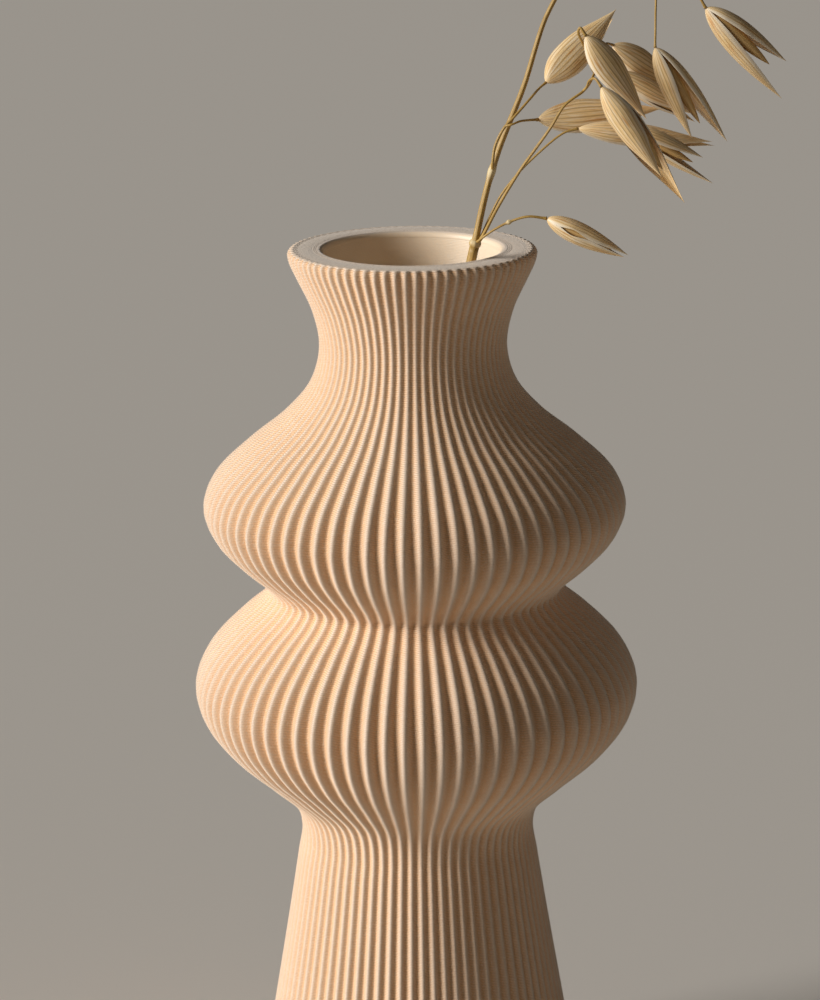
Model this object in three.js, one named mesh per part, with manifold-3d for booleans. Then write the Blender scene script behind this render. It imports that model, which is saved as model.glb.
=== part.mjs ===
// A fluted, double-bellied vase, 3D printed in one piece, holding a dried oat sprig.
//
// Millimetres, +Z up. The origin is the centre of the underside of the vase's foot, -Y is the
// front and +X is the right. The sprig stands in the vase and can be drawn out along its straw.

import * as THREE from 'three';
import Module from 'manifold-3d';
import { mergeVertices } from 'three/addons/utils/BufferGeometryUtils.js';

const wasm = await Module();
wasm.setup();

// ---------------------------------------------------------------- driving dimensions of the vase

const VASE_HEIGHT = 230;
const FLOOR_THICKNESS = 3;
const WALL_THICKNESS = 3.4; // measured level, from the crest of a rib to the inner wall
const THROAT_RADIUS = 22; // inside the lip, where the wall is at its thickest
const THROAT_DEPTH = 6; // how far down from the rim the throat runs straight
const LIP_ROUNDING = 0.8;
const RIB_COUNT = 76;
const RIB_DEPTH_RATIO = 0.028; // how deep the valleys are where the radius is RIB_DEPTH_RADIUS
const RIB_DEPTH_RADIUS = 52;
const RIB_DEPTH_POWER = 0.8; // how fast that share of the radius falls where the vase is narrower
const RIB_OFFSET = 0.17; // how far the front rib stands to the right, as a share of a rib's width
const CAVITY_SIDES = 48;
const OUTLINE_SAMPLES = 540;

// The outline of the rib crests, as [height, radius]. It is a flared foot, a lower belly, an
// upper belly and a waisted neck, with a tight crease between the two bellies.
const CREST_OUTLINE = [
  [0, 42.8], [30, 37.8], [60, 32.7], [75, 30.3], [83, 29.2], [89, 30.8],
  [97, 39.0], [105, 47.8], [113, 53.5], [121, 55.1], [129, 52.0], [137, 44.5],
  [142.5, 38.0], [145, 36.3], [147.5, 38.0],
  [153, 44.2], [159, 49.6], [166, 52.1], [173, 49.8], [181, 41.8],
  [189, 32.0], [197, 25.4], [206, 23.0], [215, 24.6], [223, 28.2], [227, 30.0],
  [VASE_HEIGHT, 30.6],
];

// The heights at which the cavity follows the outline. Above the last, it runs up to the lip.
const CAVITY_LEVELS = [FLOOR_THICKNESS, 45, 83, 97, 109, 121, 133, 145, 156, 166, 176, 189, 197, 206];

// ---------------------------------------------------------------- driving dimensions of the sprig

const PIECE_GAP = 0.3; // the culm stops this far short of the joint on top of it
const SPIKELET_GAP = 0.45; // a stem stops this far short of its spikelet
const CULM_FOOT = new THREE.Vector3(-36.5, 0, 3.5);
const CULM_TOP = new THREE.Vector3(14.5, -15, 232.5);
const CULM_RADIUS = 1.1;
const CULM_STEPS = 4;
const NODE_RADIUS = 1.45;
const NODE_HALF_LENGTH = 0.9;
const HUSK_THICKNESS = 0.4;
const HUSK_FOOT_OFFSET = 0.3; // how far each husk stands off its spikelet's middle plane
const HUSK_SPREAD_POWER = 0.75; // how fast a husk widens from its foot
const HUSK_TAPER_POWER = 1.35; // how fast it narrows to its tip
const HUSK_DEPTH_POWER = 0.8; // under 1, so that its depth runs out more slowly than its width
const GRAIN_RADIUS = 1.0;
const GRAIN_BLUNTNESS = 0.7; // under 1, so that its ends are rounder than a spindle's
const GRAIN_START = 0.1; // the grain's two ends, as shares of the spikelet's length
const GRAIN_END = 0.72;
const STEM_SIDES = 6;

// The spikelets, numbered from the lowest one on the sprig. foot and tip are its two ends, width
// and depth the size of one husk across and through, gape the angle between its two husks, and
// roll turns it about its own length. The lengths are the shares that its upper and lower husks
// have of the distance from foot to tip.
const SPIKELETS = [
  { foot: [31.5, -20.5, 240.5], tip: [50.5, -23, 231.5], width: 6.2, depth: 2.7, gape: 3, roll: 0,
    upper: 1.0, lower: 0.97 },
  { foot: [30, -8, 262], tip: [60, -5, 263.5], width: 8.4, depth: 2.5, gape: 4, roll: 60,
    upper: 1.0, lower: 0.9 },
  { foot: [39, -16, 261], tip: [72, -13, 256.5], width: 5.6, depth: 2.6, gape: 4, roll: 60,
    upper: 0.97, lower: 1.0 },
  { foot: [43.5, -31, 273], tip: [60.5, -33, 248.5], width: 7, depth: 2.9, gape: 4, roll: -65,
    upper: 1.12, lower: 0.85 },
  { foot: [40.5, -21, 283.5], tip: [54.5, -21, 263.5], width: 7.6, depth: 2.4, gape: 4, roll: 60,
    upper: 1.0, lower: 0.9 },
  { foot: [32, -6, 270.5], tip: [49.5, 3, 286], width: 8.6, depth: 2.5, gape: 6, roll: 60,
    upper: 1.0, lower: 0.95 },
  { foot: [48.5, -8, 273], tip: [68, -8, 261.5], width: 6, depth: 2.4, gape: 4, roll: 40,
    upper: 0.95, lower: 1.0 },
  { foot: [48, -4, 279], tip: [64.5, 0, 267], width: 7.4, depth: 2.4, gape: 6, roll: 50,
    upper: 1.0, lower: 0.92 },
  { foot: [50.5, -22, 262], tip: [69.5, -23, 252], width: 4.6, depth: 2.2, gape: 12, roll: 15,
    upper: 0.88, lower: 1.12 },
  { foot: [57, -17, 280], tip: [70, -17, 257.5], width: 6.6, depth: 2.6, gape: 16, roll: -20,
    upper: 1.1, lower: 0.9 },
  { foot: [70, -4, 287.5], tip: [89, -4, 270.5], width: 7, depth: 2.8, gape: 16, roll: -10,
    upper: 0.92, lower: 1.12 },
];

// The stems, each from its root outwards. A stem with a spikelet number runs on to that
// spikelet's foot.
const STEMS = [
  { name: 'main_axis', root: 0.8, end: 0.3, spikelet: 11, steps: 18, route: [
    [15, -15.2, 235], [17.5, -14, 246], [20.5, -12.5, 255.5], [26.5, -10, 270], [32.5, -6, 287],
    [38, -5, 295], [47, -5, 300], [57, -4.5, 300], [65, -4, 295.5], [68.3, -4, 290.5]] },
  { name: 'branch_left', root: 0.35, end: 0.25, spikelet: 6, steps: 10, route: [
    [19, -14.5, 252.5], [19.5, -14.5, 256.5], [20.5, -14.5, 259], [22, -14.5, 261.5],
    [24, -14, 263.5], [28, -11.5, 267.5], [30.5, -7.5, 269.5]] },
  { name: 'branch_long', root: 0.4, end: 0.25, spikelet: 8, steps: 16, route: [
    [16.3, -16.1, 235.3], [20, -19, 243], [25, -22, 252], [32, -25, 262.5], [35.5, -25, 268],
    [40, -23, 271], [43, -15, 274], [45, -9, 278], [46.3, -5.8, 279.6]] },
  { name: 'branch_thin', root: 0.25, end: 0.25, spikelet: 3, steps: 12, route: [
    [16.2, -14.3, 235.3], [18.5, -15, 240.5], [21, -16, 245.5], [25, -18, 251], [27.5, -17.5, 253.5],
    [35.5, -16.5, 260]] },
  { name: 'pedicel_1', root: 0.25, end: 0.3, spikelet: 1, steps: 10, route: [
    [15.9, -17, 235], [19, -18.5, 237.5], [22.5, -19.5, 239.5], [27, -20.5, 241]] },
  { name: 'pedicel_2', root: 0.22, end: 0.3, spikelet: 2, steps: 8, route: [
    [23.5, -15, 262], [25.5, -13.5, 262.5], [28, -10.5, 262.3]] },
  { name: 'pedicel_4', root: 0.22, end: 0.3, spikelet: 4, steps: 8, route: [
    [40.5, -24.3, 272], [41, -27.5, 274], [42.2, -30, 274.7]] },
  { name: 'pedicel_5', root: 0.22, end: 0.3, spikelet: 5, steps: 8, route: [
    [42.3, -16, 275], [40.6, -18.5, 280], [38.8, -20.5, 284.3], [39.2, -21, 285.4]] },
  { name: 'pedicel_7', root: 0.22, end: 0.25, spikelet: 7, steps: 6, route: [
    [45.4, -10, 277.2], [46.6, -9.5, 276.2]] },
  { name: 'pedicel_9', root: 0.22, end: 0.25, spikelet: 9, steps: 8, route: [
    [44.2, -14.3, 273.4], [46.5, -15.5, 270], [48, -16.5, 266.5], [49.3, -20, 263.5]] },
  { name: 'pedicel_10', root: 0.25, end: 0.25, spikelet: 10, steps: 8, route: [
    [56.5, -5.8, 299.2], [57.5, -10, 294], [57.2, -15, 286]] },
];

// ---------------------------------------------------------------- materials

const printedPlastic = { color: 0xd8bd98, roughness: 0.62, metalness: 0 };
const strawStem = { color: 0xb39a5e, roughness: 0.6, metalness: 0 };
const husk = { color: 0xc9b58a, roughness: 0.7, metalness: 0 };
const grainSkin = { color: 0xb98a45, roughness: 0.65, metalness: 0 };

const object = new THREE.Group();

function addPiece(parent, name, geometry, finish) {
  const piece = new THREE.Mesh(geometry, new THREE.MeshStandardMaterial(finish));
  piece.name = name;
  parent.add(piece);
  return piece;
}

// ---------------------------------------------------------------- the vase

const outline = new THREE.CatmullRomCurve3(
  CREST_OUTLINE.map(([height, radius]) => new THREE.Vector3(radius, height, 0)), false, 'centripetal');
const outlineSamples = outline.getPoints(OUTLINE_SAMPLES);

function crestRadius(height) {
  const next = outlineSamples.findIndex((point) => point.y >= height);
  const above = outlineSamples[Math.max(next, 1)];
  const below = outlineSamples[Math.max(next, 1) - 1];
  const share = (height - below.y) / (above.y - below.y);
  return THREE.MathUtils.lerp(below.x, above.x, share);
}

// The solid outer form: two sides to a rib, one corner on its crest and one in the valley.
function ribbedBody() {
  const profile = CREST_OUTLINE.map(([height, radius]) => new THREE.Vector2(radius, height));
  profile.unshift(new THREE.Vector2(0, 0));
  profile.push(new THREE.Vector2(0, VASE_HEIGHT));
  const fullTurn = Math.PI * 2;
  const firstRib = fullTurn * RIB_OFFSET / RIB_COUNT;
  const geometry = new THREE.LatheGeometry(profile, RIB_COUNT * 2, firstRib, fullTurn);
  const positions = geometry.attributes.position;
  const column = profile.length;
  for (let i = 0; i < positions.count; i += 1) {
    const inValley = Math.floor(i / column) % 2 === 1;
    const radius = Math.hypot(positions.getX(i), positions.getZ(i));
    const depth = RIB_DEPTH_RATIO * (radius / RIB_DEPTH_RADIUS) ** RIB_DEPTH_POWER;
    const scale = inValley ? 1 - depth : 1;
    positions.setX(i, positions.getX(i) * scale);
    positions.setZ(i, positions.getZ(i) * scale);
  }
  return geometry;
}

// The space inside, which opens through the lip and is a little taller than the vase.
function cavityForm() {
  const above = VASE_HEIGHT + 1;
  const profile = [new THREE.Vector2(0, FLOOR_THICKNESS)];
  for (const height of CAVITY_LEVELS) {
    profile.push(new THREE.Vector2(crestRadius(height) - WALL_THICKNESS, height));
  }
  profile.push(new THREE.Vector2(THROAT_RADIUS, VASE_HEIGHT - THROAT_DEPTH));
  for (const angle of [0, Math.PI / 4, Math.PI / 2]) {
    const radius = THROAT_RADIUS + LIP_ROUNDING * (1 - Math.cos(angle));
    profile.push(new THREE.Vector2(radius, VASE_HEIGHT - LIP_ROUNDING * (1 - Math.sin(angle))));
  }
  profile.push(new THREE.Vector2(THROAT_RADIUS + LIP_ROUNDING, above));
  profile.push(new THREE.Vector2(0, above));
  return new THREE.LatheGeometry(profile, CAVITY_SIDES);
}

function solidOf(geometry) {
  geometry.deleteAttribute('normal');
  geometry.deleteAttribute('uv');
  const merged = mergeVertices(geometry);
  return new wasm.Manifold(new wasm.Mesh({
    numProp: 3,
    vertProperties: merged.attributes.position.array,
    triVerts: Uint32Array.from(merged.index.array),
  }));
}

function geometryOf(solid) {
  const mesh = solid.getMesh();
  const geometry = new THREE.BufferGeometry();
  geometry.setAttribute('position', new THREE.BufferAttribute(mesh.vertProperties, 3));
  geometry.setIndex(new THREE.BufferAttribute(mesh.triVerts, 1));
  return geometry;
}

const vaseSolid = solidOf(ribbedBody()).subtract(solidOf(cavityForm()));
const vase = addPiece(object, 'vase_body', geometryOf(vaseSolid), printedPlastic);
vase.rotation.x = Math.PI / 2; // a lathe turns about Y, and the vase stands on Z

// ---------------------------------------------------------------- the sprig's straw and stems

const sprig = new THREE.Group();
object.add(sprig);

// A cylinder bent along a route, with its radius running evenly from root to end.
function bentStem(points, rootRadius, endRadius, steps) {
  const curve = new THREE.CatmullRomCurve3(points, false, 'centripetal');
  const frames = curve.computeFrenetFrames(steps, false);
  const geometry = new THREE.CylinderGeometry(1, 1, 1, STEM_SIDES, steps);
  const positions = geometry.attributes.position;
  const place = new THREE.Vector3();
  for (let i = 0; i < positions.count; i += 1) {
    const share = positions.getY(i) + 0.5;
    const step = Math.round(share * steps);
    const radius = THREE.MathUtils.lerp(rootRadius, endRadius, share);
    place.copy(curve.getPointAt(step / steps));
    place.addScaledVector(frames.normals[step], positions.getX(i) * radius);
    place.addScaledVector(frames.binormals[step], -positions.getZ(i) * radius);
    positions.setXYZ(i, place.x, place.y, place.z);
  }
  return geometry;
}

function vectorOf(place) {
  return new THREE.Vector3(...place);
}

const culmGeometry = bentStem([CULM_FOOT, CULM_TOP], CULM_RADIUS, CULM_RADIUS, CULM_STEPS);
addPiece(sprig, 'culm', culmGeometry, strawStem);

// The swollen joint on top of the culm, which the axis and the lower branches grow from.
const culmDirection = CULM_TOP.clone().sub(CULM_FOOT).normalize();
const nodeGeometry = new THREE.SphereGeometry(1, 10, 6);
nodeGeometry.scale(NODE_RADIUS, NODE_HALF_LENGTH, NODE_RADIUS);
const culmNode = addPiece(sprig, 'culm_node', nodeGeometry, strawStem);
culmNode.quaternion.setFromUnitVectors(new THREE.Vector3(0, 1, 0), culmDirection);
culmNode.position.copy(CULM_TOP).addScaledVector(culmDirection, PIECE_GAP + NODE_HALF_LENGTH);

for (const stem of STEMS) {
  const points = stem.route.map(vectorOf);
  const { foot, tip } = SPIKELETS[stem.spikelet - 1];
  const direction = vectorOf(tip).sub(vectorOf(foot)).normalize();
  points.push(vectorOf(foot).addScaledVector(direction, -SPIKELET_GAP));
  addPiece(sprig, stem.name, bentStem(points, stem.root, stem.end, stem.steps), strawStem);
}

// ---------------------------------------------------------------- the spikelets

// How wide a husk is at a share of its length, as a share of its full width: a round shoulder
// near the foot and a long, fine tip.
const widestShare = HUSK_SPREAD_POWER / (HUSK_SPREAD_POWER + HUSK_TAPER_POWER);

function rawHuskShape(share) {
  return share ** HUSK_SPREAD_POWER * (1 - share) ** HUSK_TAPER_POWER;
}

function huskShape(share) {
  return rawHuskShape(share) / rawHuskShape(widestShare);
}

// A sphere reshaped ring by ring: shape gives a point's distance out, along and across.
function reshapedSphere(sides, rings, shape) {
  const geometry = new THREE.SphereGeometry(1, sides, rings);
  const positions = geometry.attributes.position;
  const around = geometry.attributes.uv;
  for (let i = 0; i < positions.count; i += 1) {
    const [out, along, across] = shape(around.getX(i) * Math.PI * 2, around.getY(i));
    positions.setXYZ(i, out, along, across);
  }
  return geometry;
}

// A hollow, boat-shaped husk. Its outer face is a half ellipse in section, its inner face a
// flatter one, and the two meet along its edges.
function huskGeometry(length, width, depth) {
  return reshapedSphere(8, 8, (angle, share) => {
    const size = huskShape(share);
    const facesOut = Math.cos(angle) < 0;
    const outerDepth = depth * size ** HUSK_DEPTH_POWER;
    const reach = facesOut ? outerDepth : Math.max(outerDepth - HUSK_THICKNESS, 0);
    const out = HUSK_FOOT_OFFSET + Math.abs(Math.cos(angle)) * reach;
    return [out, share * length, Math.sin(angle) * size * width / 2];
  });
}

// A slender grain, round in section and pointed at both ends.
function grainGeometry(length) {
  return reshapedSphere(6, 6, (angle, share) => {
    const radius = GRAIN_RADIUS * Math.sin(Math.PI * share) ** GRAIN_BLUNTNESS;
    const along = THREE.MathUtils.lerp(GRAIN_START, GRAIN_END, share) * length;
    return [-Math.cos(angle) * radius, along, Math.sin(angle) * radius];
  });
}

function turnTo(piece, foot, out, along) {
  const across = new THREE.Vector3().crossVectors(out, along);
  piece.quaternion.setFromRotationMatrix(new THREE.Matrix4().makeBasis(out, along, across));
  piece.position.copy(foot);
}

SPIKELETS.forEach((spikelet, index) => {
  const name = `spikelet_${index + 1}`;
  const foot = vectorOf(spikelet.foot);
  const along = vectorOf(spikelet.tip).sub(foot);
  const length = along.length();
  along.normalize();
  const out = new THREE.Vector3(-along.z, 0, along.x).normalize();
  out.applyAxisAngle(along, THREE.MathUtils.degToRad(spikelet.roll));

  for (const [side, label] of [[1, 'upper'], [-1, 'lower']]) {
    const lean = THREE.MathUtils.degToRad(spikelet.gape / 2);
    const huskAlong = along.clone().multiplyScalar(Math.cos(lean));
    huskAlong.addScaledVector(out, side * Math.sin(lean));
    const huskOut = out.clone().multiplyScalar(side * Math.cos(lean));
    huskOut.addScaledVector(along, -Math.sin(lean));
    const geometry = huskGeometry(length * spikelet[label], spikelet.width, spikelet.depth);
    const piece = addPiece(sprig, `${name}_${label}_husk`, geometry, husk);
    turnTo(piece, foot, huskOut, huskAlong);
  }
  const grain = addPiece(sprig, `${name}_grain`, grainGeometry(length), grainSkin);
  turnTo(grain, foot, out, along);
});

export default object;
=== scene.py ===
# The looks of a fluted, 3D-printed vase and the dried oat sprig that stands in it.
#
# Sizes and places are in millimetres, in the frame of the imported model: +Z up, -Y to the front,
# the origin at the centre of the underside of the foot. MM turns them into metres.

import math

import bpy
import numpy as np
from mathutils import Matrix, Vector


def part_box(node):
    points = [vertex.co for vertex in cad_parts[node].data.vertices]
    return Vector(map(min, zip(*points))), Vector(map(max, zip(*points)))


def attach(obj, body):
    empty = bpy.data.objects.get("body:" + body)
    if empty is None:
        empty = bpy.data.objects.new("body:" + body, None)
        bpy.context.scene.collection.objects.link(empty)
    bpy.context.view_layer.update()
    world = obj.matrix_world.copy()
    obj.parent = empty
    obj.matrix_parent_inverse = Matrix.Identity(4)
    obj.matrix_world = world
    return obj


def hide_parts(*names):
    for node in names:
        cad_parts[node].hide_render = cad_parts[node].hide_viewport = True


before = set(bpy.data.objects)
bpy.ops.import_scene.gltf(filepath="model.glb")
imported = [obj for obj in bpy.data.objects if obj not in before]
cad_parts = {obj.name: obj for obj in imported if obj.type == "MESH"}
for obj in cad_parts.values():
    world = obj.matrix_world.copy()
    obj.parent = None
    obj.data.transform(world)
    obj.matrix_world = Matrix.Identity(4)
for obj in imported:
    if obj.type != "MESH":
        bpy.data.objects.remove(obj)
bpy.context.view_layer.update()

MM = 0.001

# ------------------------------------------------------------------ camera, floor and light

CAMERA_PLACE = (-11.52, -829.38, 389.06)
CAMERA_TARGET = (-1.13, 0.01, 166.8)
CAMERA_ROLL = -0.571  # degrees
CAMERA_LENS = 125.36
CAMERA_SENSOR = 36.0
CAMERA_REACH = 100.0  # metres
FLOOR_HALF_WIDTH = 12000.0
FLOOR_ROUGHNESS = 0.8
FLOOR_COLOUR = (0.77, 0.715, 0.645)
SUN_HEADING = 77.0  # degrees to the left of the camera's side of the vase
SUN_HEIGHT = 19.0  # degrees above the horizon
SUN_STRENGTH = 3.75
SUN_SOFTNESS = 34.0  # degrees across
SUN_COLOUR = (1.0, 0.99, 0.97)
SKY_COLOUR = (1.0, 0.97, 0.92)
SKY_STRENGTH = 0.04

# ------------------------------------------------------------------ the vase

VASE_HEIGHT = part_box("vase_body")[1].z / MM
FLOOR_THICKNESS = 3.0
WALL_THICKNESS = 3.4
THROAT_RADIUS = 21.5
THROAT_DEPTH = 6.0
LIP_ROUNDING = 1.3
RIM_ROUNDING = 1.5  # the outer edge of the rim
RIM_FADE = 0.15  # how much of the ribs' depth is lost on the rim
RIM_FADE_HEIGHT = 3.0
RIB_COUNT = 76
RIB_DEPTH_RATIO = 0.028  # how deep the valleys are where the radius is RIB_DEPTH_RADIUS
RIB_DEPTH_RADIUS = 52.0
RIB_DEPTH_POWER = 0.8  # how fast that share of the radius falls where the vase is narrower
RIB_OFFSET = 0.17  # how far the front rib is turned to the right, as a share of a rib's width
RIB_SAMPLES = 10  # columns of the mesh to a rib
LAYER_HEIGHT = 0.4
LAYER_GROOVE = 0.2  # how deep the line between two layers is in a valley, where the wall is upright
CREST_GROOVE = 0.6  # how much of LAYER_GROOVE is left on the crests of the ribs
INNER_GROOVE = 0.06  # how deep that line is on the inner wall, which is smoother
RIM_GROOVE = 0.08  # how deep the lines between the printed beads of the rim's flat top are
LAYER_STEP = 0.15  # a line is as far in as the wall is this far above or below it
BEAD_WIDTH = 0.45  # of the printed beads of the rim's flat top
OUTER_BEADS = 2  # how many of them follow the ribs
INNER_BEADS = 3  # how many of them follow the mouth
RIM_MIDDLE_SPANS = 5  # between those two sets of beads
RIM_TONE_RINGS = 2  # how many rings on each side of the rim's flat top share its tone
FOOT_CHAMFER = 0.4
INNER_LAYERS_DEPTH = 16.0  # below the rim, where the inner wall's layers can be seen
INNER_STEP = 2.0  # between rings of the inner wall, further down
LIP_STEP = 15  # degrees
UNDERSIDE_SHARES = (0.3, 0.6, 0.85, 0.97)  # of the foot's radius, where the underside has rings
CAVITY_FLOOR_SHARES = (1, 0.97, 0.7, 0.4)  # of the cavity's radius, where its floor has rings
CREST_SAMPLES = 40  # to each span of the outline
CAVITY_SAMPLES = 20

# The outline of the rib crests, as (height, radius).
CREST_OUTLINE = [
    (0, 42.8), (30, 37.8), (60, 32.7), (75, 30.3), (83, 29.2), (89, 30.8),
    (97, 39.0), (105, 47.8), (113, 53.5), (121, 55.1), (129, 52.0), (137, 44.5),
    (142.5, 38.0), (145, 36.3), (147.5, 38.0),
    (153, 44.2), (159, 49.6), (166, 52.1), (173, 49.8), (181, 41.8),
    (189, 32.0), (197, 25.4), (206, 23.0), (215, 24.6), (223, 28.2), (227, 30.0),
    (VASE_HEIGHT, 30.6),
]
CAVITY_LEVELS = [FLOOR_THICKNESS, 45, 83, 97, 109, 121, 133, 145, 156, 166, 176, 189, 197, 206]

# ------------------------------------------------------------------ the sprig

CULM_FOOT = (-36.5, 0, 3.5)
CULM_TOP = (14.5, -15, 232.5)
CULM_RADIUS = 1.1
CULM_STEP = 1.5
CULM_TUCK = 0.5  # how far the straw reaches into its node
NODE_CENTRE_ABOVE = 1.2  # above the culm's top
NODE_RADIUS = 1.4
NODE_END_RADIUS = 0.95
NODE_HALF_LENGTH = 0.9
NODE_ROUNDING = 0.7
NODE_STEP = 0.09
HUSK_THICKNESS = 0.16
HUSK_FOOT_OFFSET = -0.12  # a little under 0, so that the margins close on each other
HUSK_SPREAD_POWER = 0.75
HUSK_TAPER_POWER = 1.35
HUSK_DEPTH_POWER = 0.8
GRAIN_FILL = 0.74  # how much of the space between its husks a grain fills, across and through
GRAIN_SHIFT = 0.12  # how far it lies towards the side that gapes, as a share of the husks' width
GRAIN_BLUNTNESS = 0.9
GRAIN_SWELL = 0.6
GRAIN_START = 0.1
GRAIN_END = 0.8
GRAIN_SPAN = (0.03, 0.97)  # where its first and last rings are, in half turns of a cosine
GRAIN_RINGS = 30
GRAIN_SIDES = 24
GRAIN_CREASE = 0.22  # as a share of the radius, on the far side
GRAIN_CREASE_WIDTH = 0.35  # radians

# Each spikelet: its foot and tip, the width and depth of one husk, the angle between its husks,
# its turn about its own length, and the shares of its length that its two husks have.
SPIKELETS = [
    dict(foot=(31.5, -20.5, 240.5), tip=(50.5, -23, 231.5), width=6.2, depth=2.7, gape=1.6, roll=0,
         upper=1.0, lower=0.97, window=17),
    dict(foot=(30, -8, 262), tip=(60, -5, 263.5), width=8.4, depth=2.5, gape=4, roll=60,
         upper=1.0, lower=0.9),
    dict(foot=(39, -16, 261), tip=(72, -13, 256.5), width=5.6, depth=2.6, gape=4, roll=60,
         upper=0.97, lower=1.0),
    dict(foot=(43.5, -31, 273), tip=(60.5, -33, 248.5), width=7, depth=2.9, gape=4, roll=-65,
         upper=1.12, lower=0.85),
    dict(foot=(40.5, -21, 283.5), tip=(54.5, -21, 263.5), width=7.6, depth=2.4, gape=4, roll=60,
         upper=1.0, lower=0.9),
    dict(foot=(32, -6, 270.5), tip=(49.5, 3, 286), width=8.6, depth=2.5, gape=6, roll=60,
         upper=1.0, lower=0.95),
    dict(foot=(48.5, -8, 273), tip=(68, -8, 261.5), width=6, depth=2.4, gape=4, roll=40,
         upper=0.95, lower=1.0),
    dict(foot=(48, -4, 279), tip=(64.5, 0, 267), width=7.4, depth=2.4, gape=6, roll=50,
         upper=1.0, lower=0.92),
    dict(foot=(50.5, -22, 262), tip=(69.5, -23, 252), width=4.6, depth=2.2, gape=12, roll=15,
         upper=0.88, lower=1.12),
    dict(foot=(57, -17, 280), tip=(70, -17, 257.5), width=6.6, depth=2.6, gape=16, roll=-20,
         upper=1.1, lower=0.9),
    dict(foot=(70, -4, 287.5), tip=(89, -4, 270.5), width=7, depth=2.8, gape=16, roll=-10,
         upper=0.92, lower=1.12),
]

# Each stem: its radius at its root and end, the point on its parent that it grows from, its route,
# and the spikelet it ends in. A knot has its place along the stem, its size and its reach.
STEMS = [
    dict(name="main_axis", root=0.8, end=0.3, spikelet=11, knots=[(17.5, 0.3, 1.6)],
         grows_from=(14.8, -15.1, 233.7), route=[
        (15, -15.2, 235), (17.5, -14, 246), (20.5, -12.5, 255.5), (26.5, -10, 270), (32.5, -6, 287),
        (38, -5, 295), (47, -5, 300), (57, -4.5, 300), (65, -4, 295.5), (68.3, -4, 290.5)]),
    dict(name="branch_left", root=0.35, end=0.25, spikelet=6, grows_from=(19.0, -13.3, 250.8), route=[
        (19, -14.5, 252.5), (19.5, -14.5, 256.5), (20.5, -14.5, 259), (22, -14.5, 261.5),
        (24, -14, 263.5), (28, -11.5, 267.5), (30.5, -7.5, 269.5)]),
    dict(name="branch_long", root=0.4, end=0.25, spikelet=8, grows_from=(15.3, -15.5, 233.9), route=[
        (16.3, -16.1, 235.3), (20, -19, 243), (25, -22, 252), (32, -25, 262.5), (35.5, -25, 268),
        (40, -23, 271), (43, -15, 274), (45, -9, 278), (46.3, -5.8, 279.6)]),
    dict(name="branch_thin", root=0.25, end=0.25, spikelet=3, grows_from=(15.3, -14.9, 233.9), route=[
        (16.2, -14.3, 235.3), (18.5, -15, 240.5), (21, -16, 245.5), (25, -18, 251),
        (27.5, -17.5, 253.5), (35.5, -16.5, 260)]),
    dict(name="pedicel_1", root=0.25, end=0.3, spikelet=1, knots=[(10, 1.2, 0.5)],
         grows_from=(15.2, -16.0, 234.2), route=[
        (15.9, -17, 235), (19, -18.5, 237.5), (22.5, -19.5, 239.5), (27, -20.5, 241)]),
    dict(name="pedicel_2", root=0.22, end=0.3, spikelet=2, grows_from=(22.1, -14.5, 261.6), route=[
        (23.5, -15, 262), (25.5, -13.5, 262.5), (28, -10.5, 262.3)]),
    dict(name="pedicel_4", root=0.22, end=0.3, spikelet=4, grows_from=(39.9, -23.1, 271), route=[
        (40.5, -24.3, 272), (41, -27.5, 274), (42.2, -30, 274.7)]),
    dict(name="pedicel_5", root=0.22, end=0.3, spikelet=5, grows_from=(43, -15, 274), route=[
        (42.3, -16, 275), (40.6, -18.5, 280), (38.8, -20.5, 284.3), (39.2, -21, 285.4)]),
    dict(name="pedicel_7", root=0.22, end=0.25, spikelet=7, grows_from=(44.9, -9.3, 277.8), route=[
        (45.4, -10, 277.2), (46.6, -9.5, 276.2)]),
    dict(name="pedicel_9", root=0.22, end=0.25, spikelet=9, grows_from=(43.1, -14.8, 274), route=[
        (44.2, -14.3, 273.4), (46.5, -15.5, 270), (48, -16.5, 266.5), (49.3, -20, 263.5)]),
    dict(name="pedicel_10", root=0.25, end=0.25, spikelet=10, grows_from=(56.6, -4.6, 300), route=[
        (56.5, -5.8, 299.2), (57.5, -10, 294), (57.2, -15, 286)]),
]


# ------------------------------------------------------------------ the studio

def add_camera():
    data = bpy.data.cameras.new("camera")
    data.lens = CAMERA_LENS
    data.sensor_width = CAMERA_SENSOR
    data.clip_end = CAMERA_REACH
    camera = bpy.data.objects.new("camera", data)
    bpy.context.scene.collection.objects.link(camera)
    place = Vector(CAMERA_PLACE) * MM
    look = Vector(CAMERA_TARGET) * MM - place
    turn = look.to_track_quat("-Z", "Y").to_matrix().to_4x4()
    roll = Matrix.Rotation(math.radians(CAMERA_ROLL), 4, "Z")
    camera.matrix_world = Matrix.Translation(place) @ turn @ roll
    bpy.context.scene.camera = camera


def floor_material():
    material = bpy.data.materials.new("pale_floor")
    material.use_nodes = True
    surface = material.node_tree.nodes["Principled BSDF"]
    surface.inputs["Base Color"].default_value = (*FLOOR_COLOUR, 1)
    surface.inputs["Roughness"].default_value = FLOOR_ROUGHNESS
    return material


def add_floor():
    side = FLOOR_HALF_WIDTH * MM
    mesh = bpy.data.meshes.new("studio_floor")
    corners = [(-side, -side, 0), (side, -side, 0), (side, side, 0), (-side, side, 0)]
    mesh.from_pydata(corners, [], [(0, 1, 2, 3)])
    mesh.materials.append(floor_material())
    floor = bpy.data.objects.new("studio_floor", mesh)
    bpy.context.scene.collection.objects.link(floor)


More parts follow.
